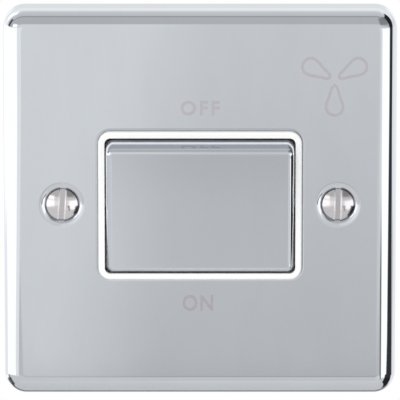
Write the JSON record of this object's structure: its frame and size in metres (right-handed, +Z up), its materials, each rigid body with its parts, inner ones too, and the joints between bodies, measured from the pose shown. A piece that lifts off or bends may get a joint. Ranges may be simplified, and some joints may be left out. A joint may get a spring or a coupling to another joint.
{
  "type": "fan isolator switch",
  "caption": "Square polished metal wall plate with a wide metal-capped rocker in a white surround, and a three-pole switch base behind it.",
  "frame": {"origin": "centre of the plate's rear rim, midway between the two fixing screws", "axes": "+Y into the wall, +Z up, +X to the right as seen from the front"},
  "size_m": [0.086, 0.03, 0.086],
  "materials": {
    "plate": "polished bright plate",
    "cap": "polished bright plate",
    "fixing_screw": "bright plated steel",
    "insert": "white moulding",
    "rocker": "white moulding",
    "base": "off-white moulding",
    "zinc": "zinc plated",
    "terminal": "machined brass",
    "plunger": "moulded nylon",
    "spring": "drawn spring wire",
    "contact_arm": "pressed copper alloy",
    "contact_tip": "silver alloy rivet"
  },
  "bodies": {
    "housing": {"base_housing": "base", "base_screws": "zinc", "clamp_nuts": "zinc", "earth_bracket": "zinc", "earth_screw": "zinc", "earth_terminal": "terminal", "fixed_tip_1": "contact_tip", "fixed_tip_2": "contact_tip", "fixed_tip_3": "contact_tip", "fixing_screws": "fixing_screw", "front_plate": "plate", "insert_frame": "insert", "load_terminal_1": "terminal", "load_terminal_2": "terminal", "load_terminal_3": "terminal", "supply_terminal_1": "terminal", "supply_terminal_2": "terminal", "supply_terminal_3": "terminal", "terminal_screws": "zinc"},
    "rocker": {"rocker_body": "rocker", "rocker_cap": "cap", "plunger_spring_1": "spring", "plunger_spring_2": "spring", "plunger_spring_3": "spring"},
    "plunger_1": {"plunger_1": "plunger"},
    "contact_1": {"contact_arm_1": "contact_arm", "moving_tip_1": "contact_tip"},
    "plunger_2": {"plunger_2": "plunger"},
    "contact_2": {"contact_arm_2": "contact_arm", "moving_tip_2": "contact_tip"},
    "plunger_3": {"plunger_3": "plunger"},
    "contact_3": {"contact_arm_3": "contact_arm", "moving_tip_3": "contact_tip"}
  },
  "joints": [
    {"name": "rocker_hinge", "type": "hinge", "parent": "housing", "child": "rocker", "pos_m": [0, -0.0067, 0], "axis": [-1, 0, 0], "range_deg": [0, 16]},
    {"name": "contact_1_hinge", "type": "hinge", "parent": "housing", "child": "contact_1", "pos_m": [-0.0136, 0.00605, 0], "axis": [-1, 0, 0], "range_deg": [-20, 0]},
    {"name": "contact_2_hinge", "type": "hinge", "parent": "housing", "child": "contact_2", "pos_m": [0, 0.00605, 0], "axis": [-1, 0, 0], "range_deg": [-20, 0]},
    {"name": "contact_3_hinge", "type": "hinge", "parent": "housing", "child": "contact_3", "pos_m": [0.0136, 0.00605, 0], "axis": [-1, 0, 0], "range_deg": [-20, 0]},
    {"name": "plunger_1_slide", "type": "slide", "parent": "rocker", "child": "plunger_1", "axis": [0, -0.9903, -0.1392], "range_m": [0, 0.001], "stiffness_N_per_m": 300, "springref_m": -0.002, "deforming": ["plunger_spring_1"]},
    {"name": "plunger_2_slide", "type": "slide", "parent": "rocker", "child": "plunger_2", "axis": [0, -0.9903, -0.1392], "range_m": [0, 0.001], "stiffness_N_per_m": 300, "springref_m": -0.002, "deforming": ["plunger_spring_2"]},
    {"name": "plunger_3_slide", "type": "slide", "parent": "rocker", "child": "plunger_3", "axis": [0, -0.9903, -0.1392], "range_m": [0, 0.001], "stiffness_N_per_m": 300, "springref_m": -0.002, "deforming": ["plunger_spring_3"]}
  ],
  "couplings": [
    {"joint": "contact_1_hinge", "follows": "rocker_hinge", "ratio": -1.25},
    {"joint": "contact_2_hinge", "follows": "rocker_hinge", "ratio": -1.25},
    {"joint": "contact_3_hinge", "follows": "rocker_hinge", "ratio": -1.25}
  ]
}
